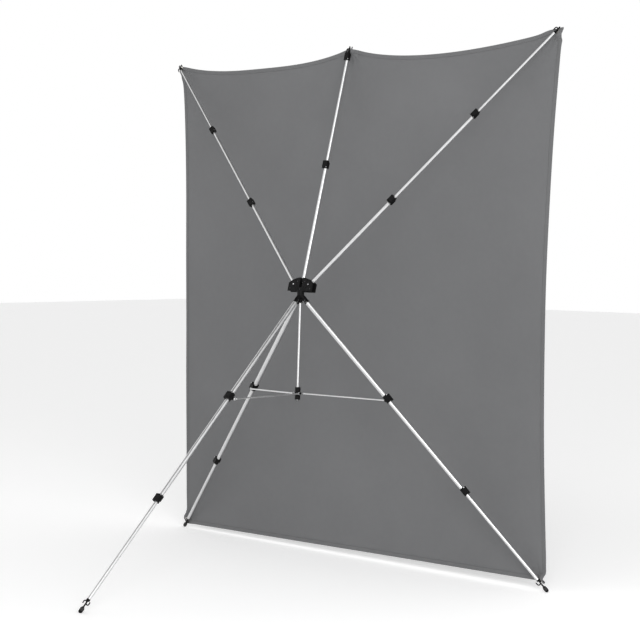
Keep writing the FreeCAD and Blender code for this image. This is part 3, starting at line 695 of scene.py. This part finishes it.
def add_brace(side):
    """An aluminium rod with a round end at the spider, and another with a rivet at the leg."""
    node = "brace_" + side
    matrix, length = brace_matrix(side)
    spread = BRACE_END - BRACE_START
    base = matrix @ offset(BRACE_START, 0, 0) @ Matrix.Rotation(math.atan2(spread, length), 4, "Y")
    across, along = (tuple(base.to_3x3().col[i].normalized()) for i in (0, 2))
    metal = tube_material(node + "_aluminium", along, across, 0.72)

    rod = bmesh.new()
    end = length - 17.0
    solid_revolve(rod, [(3.1, 17.0), (3.6, 17.4), (3.6, end - 0.4), (3.1, end)], base, 28)
    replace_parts(solid_piece(node + "_rod", rod, metal, node), node)

    ends = bmesh.new()
    flat_eye(ends, matrix, BRACE_START, 0.0, 2.3)
    flat_eye(ends, matrix, BRACE_END, length, 2.5)
    brace_socket(ends, base)
    brace_socket(ends, base @ offset(0, 0, math.hypot(length, spread)) @ rotate(180, "X"))
    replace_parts(solid_piece(node + "_ends", ends, metal, node), node)

    rivet = bmesh.new()
    profile = [(2.35, 17.45), (2.35, 26.0), (3.9, 26.0), (3.9, 26.8), (3.2, 27.3), (1.2, 27.35)]
    solid_revolve(rivet, profile, matrix @ offset(0, 0, length) @ ALONG_LOCAL_X, 28)
    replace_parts(solid_piece(node + "_rivet", rivet, steel, node), node)


for side in ("rear", "left", "right"):
    add_brace(side)


# ---------------------------------------------------------------- cloth sheet
HALF_THICKNESS = 0.0004          # of the plate that the cloth takes the place of
sheet_low, sheet_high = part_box("backdrop_sheet")
plane_top, plane_bottom = sheet_low.y + HALF_THICKNESS, sheet_high.y - HALF_THICKNESS
EYELET_TILT = math.radians(45)
HORN_REACH, HORN_HEIGHT = 11.0, 12.5     # an eyelet's centre, from the limb's axis and along its cap


def smooth(value, low, high):
    """Rises gently from 0 at low to 1 at high."""
    t = min(max((value - low) / (high - low), 0.0), 1.0)
    return t * t * (3.0 - 2.0 * t)


def bump(value, centre, width):
    return math.exp(-(((value - centre) / width) ** 2))


def plane_y(z):
    """Where the sheet's leaning plane is at a height."""
    return plane_bottom + (plane_top - plane_bottom) * z / sheet_high.z


class Eyelet:
    """Where an eyelet sits on its horn, and how the cloth turns to reach it."""

    def __init__(self, limb, horn):
        start = limb.cap_start()
        self.centre = limb.fold + limb.z * ((start + HORN_HEIGHT) * MM) + horn * (HORN_REACH * MM)
        self.flat = Vector((self.centre.x, plane_y(self.centre.z), self.centre.z))
        self.shift = self.centre - self.flat
        outwards = Vector((horn.x, 0, horn.z))
        if outwards.length < 0.2:
            outwards = Vector((limb.z.x, 0, 0))
        self.axis = outwards.normalized().cross(Vector((0, 1, 0)))
        tipped = Matrix.Rotation(EYELET_TILT, 3, self.axis) @ outwards
        self.tilt = EYELET_TILT if tipped.y < 0 else -EYELET_TILT

    def move(self, point):
        """Pulls a point of the cloth near the eyelet over to the horn and turns it square to the horn."""
        away = (point - self.flat).length
        pull = 1.0 - smooth(away, 0.012, 0.045)
        twist = 1.0 - smooth(away, 0.010, 0.034)
        if pull <= 0.0:
            return point
        turn = Matrix.Rotation(self.tilt * twist, 3, self.axis)
        return self.flat + self.shift * pull + turn @ (point - self.flat)

    def frame(self):
        """The eyelet's centre, with local Z out of the cloth on the frame's side."""
        turn = Matrix.Rotation(self.tilt, 3, self.axis)
        normal = turn @ Vector((0, -1, 0))
        side = (turn @ Vector((1, 0, 0))).normalized()
        side = (side - normal * side.dot(normal)).normalized()
        return Matrix.Translation(self.centre) @ basis(side, normal.cross(side), normal)


eyelets = [Eyelet(limbs[name], -limbs[name].x) for name in ARMS]
eyelets += [Eyelet(limbs[name], limbs[name].y) for name in ("leg_left", "leg_right")]


def left_edge(z):
    """The left edge's x at a height: nearly straight, with a flare to the top corner."""
    flare = 0.036 * math.exp((z - 2.513) / 0.2) + 0.014 * bump(z, 2.49, 0.045)
    return -1.1755 - 0.0072 * (z / 2.5) ** 2 - flare


def right_edge(z):
    """The right edge's x at a height: bowed in, most of all a little below the middle."""
    bow = 0.0354 if z > 1.02 else 0.0260
    return 1.1475 + bow * (z - 1.02) ** 2 + 0.012 * bump(z, 2.492, 0.032)


def scallop(s, sag, power):
    """The sag between two eyelets, for s from 0 at one to 1 at the other."""
    return -sag * (1.0 - abs(2.0 * s - 1.0) ** power)


def top_edge(u):
    """Height of the top edge: two scallops between the left corner, the middle and the right corner."""
    left, middle, right = 2.520, 2.5175, 2.508
    half = 0.502
    if u < half:
        s = u / half
        return left + (middle - left) * s + scallop(s, 0.060, 2.95)
    s = (u - half) / (1.0 - half)
    return middle + (right - middle) * s + scallop(s ** 0.80, 0.066, 2.0) + 0.008 * bump(s, 0.94, 0.04)


def bottom_edge(u):
    """Height of the bottom edge, which rises to the right and dips at its last corner."""
    return 0.020 + 0.024 * u - 0.006 * bump(u, 1.0, 0.012)


def flat_point(u, v):
    """x and z of a point of the flat outline: u from left to right, v from bottom to top."""
    z = bottom_edge(u) + (top_edge(u) - bottom_edge(u)) * v
    x = left_edge(z) + (right_edge(z) - left_edge(z)) * u
    return x, z


def ripple(x, z):
    """Small billows, folds that run in from the eyelets, and a faint crease below the top left edge."""
    y = 0.0022 * math.sin(1.9 * x + 0.7) * math.sin(1.6 * z + 0.4)
    y += 0.0009 * math.sin(5.3 * x - 2.1 * z) + 0.0006 * math.sin(9.1 * z + 3.0 * x + 1.0)
    for eyelet in eyelets:
        dx, dz = x - eyelet.flat.x, z - eyelet.flat.z
        away = math.hypot(dx, dz)
        if away > 1e-6:
            angle = math.atan2(dz, dx)
            fade = math.exp(-away / 0.20) * smooth(away, 0.0, 0.06)
            y += 0.0020 * fade * math.cos(11.0 * angle + 1.3 * eyelet.flat.x)
    crease = bump(z, 2.43 - 0.03 * (x + 0.7), 0.010)
    return y - 0.0011 * crease * smooth(x, -1.12, -0.95) * (1.0 - smooth(x, -0.45, -0.1))


def cloth_point(u, v):
    """A point of the sheet in its real place."""
    x, z = flat_point(u, v)
    point = Vector((x, plane_y(z) + ripple(x, z), z))
    for eyelet in eyelets:
        point = eyelet.move(point)
    return point


def graded(length, coarse, fine, bands):
    """Parameters from 0 to 1 with close steps inside the bands and wider ones elsewhere."""
    values = [0.0]
    while values[-1] < 1.0:
        here = values[-1]
        step = fine if any(low <= here <= high for low, high in bands) else coarse
        values.append(here + step / length)
    values[-1] = 1.0
    if values[-1] - values[-2] < 0.3 * fine / length:
        del values[-2]
    return values


WIDTH, HEIGHT = 2.38, 2.48       # about the sheet's size, for spacing out the cloth's points
COARSE, FINE = ((0.016, 0.0022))
EDGE_ZONE, TOP_ZONE = 0.055, 0.060
HOLE = 6.9 * MM
CLOTH_THICKNESS = 0.0005
HEM_WIDTH = 0.021
STITCH_INSET, STITCH_PITCH, STITCH_LENGTH = 0.018, 0.0045, 0.00279
u_lines = graded(WIDTH, COARSE, FINE, [(0, EDGE_ZONE / WIDTH), (0.490, 0.524), (1 - EDGE_ZONE / WIDTH, 1)])
v_lines = graded(HEIGHT, COARSE, FINE, [(0, EDGE_ZONE / HEIGHT), (1 - TOP_ZONE / HEIGHT, 1)])


def cloth_grid(name, us, vs, layer):
    """A patch of the sheet. layer moves it off the middle of the cloth, in metres, towards the frame."""
    bm = bmesh.new()
    grid = [[bm.verts.new(cloth_point(u, v)) for u in us] for v in vs]
    for low, high in zip(grid, grid[1:]):
        for a, b, c, d in zip(low, low[1:], high[1:], high):
            bm.faces.new((a, b, c, d))
    bm.normal_update()
    if layer:
        for vertex in bm.verts:
            normal = vertex.normal if vertex.normal.y < 0 else -vertex.normal
            vertex.co += normal * layer
    doomed = []
    for face in bm.faces:
        centre = face.calc_center_median()
        if any((centre - eyelet.centre).length < HOLE for eyelet in eyelets):
            doomed.append(face)
    bmesh.ops.delete(bm, geom=doomed, context="FACES")
    return mesh_from(name, bm)


def cloth_layer(name, us, vs, layer, material):
    """A piece of cloth with a real thickness over part of the sheet."""
    piece = new_piece(name, cloth_grid(name, us, vs, layer), material, "sheet")
    solid = piece.modifiers.new("thickness", "SOLIDIFY")
    solid.thickness = CLOTH_THICKNESS
    solid.offset = 0.0
    return piece


def add_hems():
    """A folded strip of cloth along each of the four edges."""
    u_band, v_band = HEM_WIDTH / WIDTH, HEM_WIDTH / HEIGHT
    spans = {
        "left": ([u for u in u_lines if u <= u_band], v_lines, 0.0008),
        "right": ([u for u in u_lines if u >= 1 - u_band], v_lines, 0.0008),
        "bottom": (u_lines, [v for v in v_lines if v <= v_band], 0.0014),
        "top": (u_lines, [v for v in v_lines if v >= 1 - v_band], 0.0014),
    }
    return [cloth_layer("hem_" + side, us, vs, layer, cloth_hem) for side, (us, vs, layer) in spans.items()]


def stitch_ends(length):
    """Parameters along an edge, in pairs: the two ends of each stitch."""
    run, start = length - 0.030, 0.006
    whole = run + 2 * start
    values = []
    for step in range(int(run / STITCH_PITCH)):
        first = (start + step * STITCH_PITCH) / whole
        values += [first, first + STITCH_LENGTH / whole]
    return values


def stitch(bm, start, end):
    """One thread stitch on each side of the hem: a low six-sided loaf between two points."""
    along = (end - start).normalized()
    for side, lift in ((-1, 0.00175), (1, 0.0003)):
        normal = Vector((0, side, 0))
        across = along.cross(normal).normalized() * 0.00035
        rise = normal * 0.00035
        low_a, low_b = start + normal * lift, end + normal * lift
        top_a, top_b = low_a + along * 0.0005 + rise, low_b - along * 0.0005 + rise
        low = [low_a - across, low_a + across, low_b + across, low_b - across]
        top = [top_a - across / 2, top_a + across / 2, top_b + across / 2, top_b - across / 2]
        low, top = ([bm.verts.new(point) for point in ring] for ring in (low, top))
        bm.faces.new(low)
        bm.faces.new(top)
        bridge(bm, low, top)


def add_stitches():
    """A row of lock stitches along each hem, with gaps at the eyelets."""
    bm = bmesh.new()
    rows = []
    for u in (STITCH_INSET / WIDTH, 1 - STITCH_INSET / WIDTH):
        rows.append([cloth_point(u, v) for v in stitch_ends(HEIGHT)])
    for v in (STITCH_INSET / HEIGHT, 1 - STITCH_INSET / HEIGHT):
        rows.append([cloth_point(u, v) for u in stitch_ends(WIDTH)])
    for points in rows:
        for here, after in zip(points[::2], points[1::2]):
            if min((here - eyelet.centre).length for eyelet in eyelets) >= 0.012:
                stitch(bm, here, after)
    return solid_piece("hem_stitches", bm, thread, "sheet")


def add_eyelets():
    """Rolled metal eyelets: a domed flange on the frame's side, a flat washer on the other."""
    pieces = []
    names = ("top_left", "top_middle", "top_right", "bottom_left", "bottom_right")
    profile = [
        (5.0, -1.5), (5.3, -1.9), (8.9, -1.75), (9.2, -1.45), (6.2, -1.2), (6.2, 1.6),
        (9.0, 1.7), (9.3, 2.0), (8.9, 2.5), (7.2, 2.95), (5.6, 2.8), (5.0, 2.2),
    ]
    for name, eyelet in zip(names, eyelets):
        bm = bmesh.new()
        revolve(bm, profile, eyelet.frame(), 48)
        piece = solid_piece("eyelet_" + name, bm, nickel, "sheet")
        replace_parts(piece, "grommets")
        pieces.append(piece)
    return pieces


cloth_piece = cloth_layer("backdrop_cloth", u_lines, v_lines, 0.0, cloth)
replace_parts(cloth_piece, "backdrop_sheet")
hem_pieces = add_hems()
stitch_piece = add_stitches()
eyelet_pieces = add_eyelets()

# ---------------------------------------------------------------- camera, floor and light
CAMERA_PLACE = (5.0404, -5.0072, 1.5217)
yaw, pitch, roll = math.radians(-41.81), math.radians(-2.55), math.radians(0.54)
camera_data = bpy.data.cameras.new("camera")
camera_data.sensor_width = 36.0
camera_data.lens = 87.78
camera_data.clip_end = 100.0
camera = new_object("camera", camera_data)
ahead = Vector((math.sin(yaw) * math.cos(pitch), math.cos(yaw) * math.cos(pitch), math.sin(pitch)))
level = Vector((math.cos(yaw), -math.sin(yaw), 0.0))
above = level.cross(ahead)
right = level * math.cos(roll) + above * math.sin(roll)
up = above * math.cos(roll) - level * math.sin(roll)
camera.matrix_world = Matrix.Translation(CAMERA_PLACE) @ basis(right, up, -ahead)
bpy.context.scene.camera = camera

# A white sky, whose strength falls from 1.0 to 0.15 overhead.
world = bpy.data.worlds.new("studio")
bpy.context.scene.world = world
world.use_nodes = True
sky = world.node_tree
direction_out = sky.nodes.new("ShaderNodeTexCoord").outputs["Generated"]
height_of = sky.nodes.new("ShaderNodeSeparateXYZ")
sky.links.new(direction_out, height_of.inputs[0])
dimming = sky.nodes.new("ShaderNodeMapRange")
for socket, value in zip(list(dimming.inputs)[1:5], (0.68, 0.88, 1.0, 0.15)):
    socket.default_value = value
sky.links.new(height_of.outputs["Z"], dimming.inputs[0])
sky.links.new(dimming.outputs["Result"], sky.nodes["Background"].inputs["Strength"])
sky.nodes["Background"].inputs["Color"].default_value = (1.0, 1.0, 1.0, 1.0)
bpy.context.scene.view_settings.view_transform = "Standard"


def soft_box(name, place, target, width, height, power):
    data = bpy.data.lights.new(name, "AREA")
    data.shape = "RECTANGLE"
    data.size = width
    data.size_y = height
    data.energy = power
    light = new_object(name, data)
    light.location = place
    light.rotation_euler = (Vector(target) - Vector(place)).to_track_quat("-Z", "Y").to_euler()


soft_box("key", (5.2, -4.0, 3.4), (0, 0.2, 1.2), 4.0, 4.0, 270.0)
soft_box("fill", (-4.5, -4.5, 2.2), (0, 0.2, 1.2), 3.0, 3.0, 30.0)

floor_bm = bmesh.new()
bmesh.ops.create_grid(floor_bm, x_segments=1, y_segments=1, size=30.0)
bmesh.ops.recalc_face_normals(floor_bm, faces=floor_bm.faces)
floor = new_object("studio_floor", mesh_from("studio_floor", floor_bm))
paper = Shader("pale_paper")
paper.set("Base Color", (0.93, 0.93, 0.93, 1.0))
paper.set("Roughness", 0.9)
paper.set("Emission Color", (1.0, 1.0, 1.0, 1.0))
paper.set("Emission Strength", 0.22)
floor.data.materials.append(paper.material)
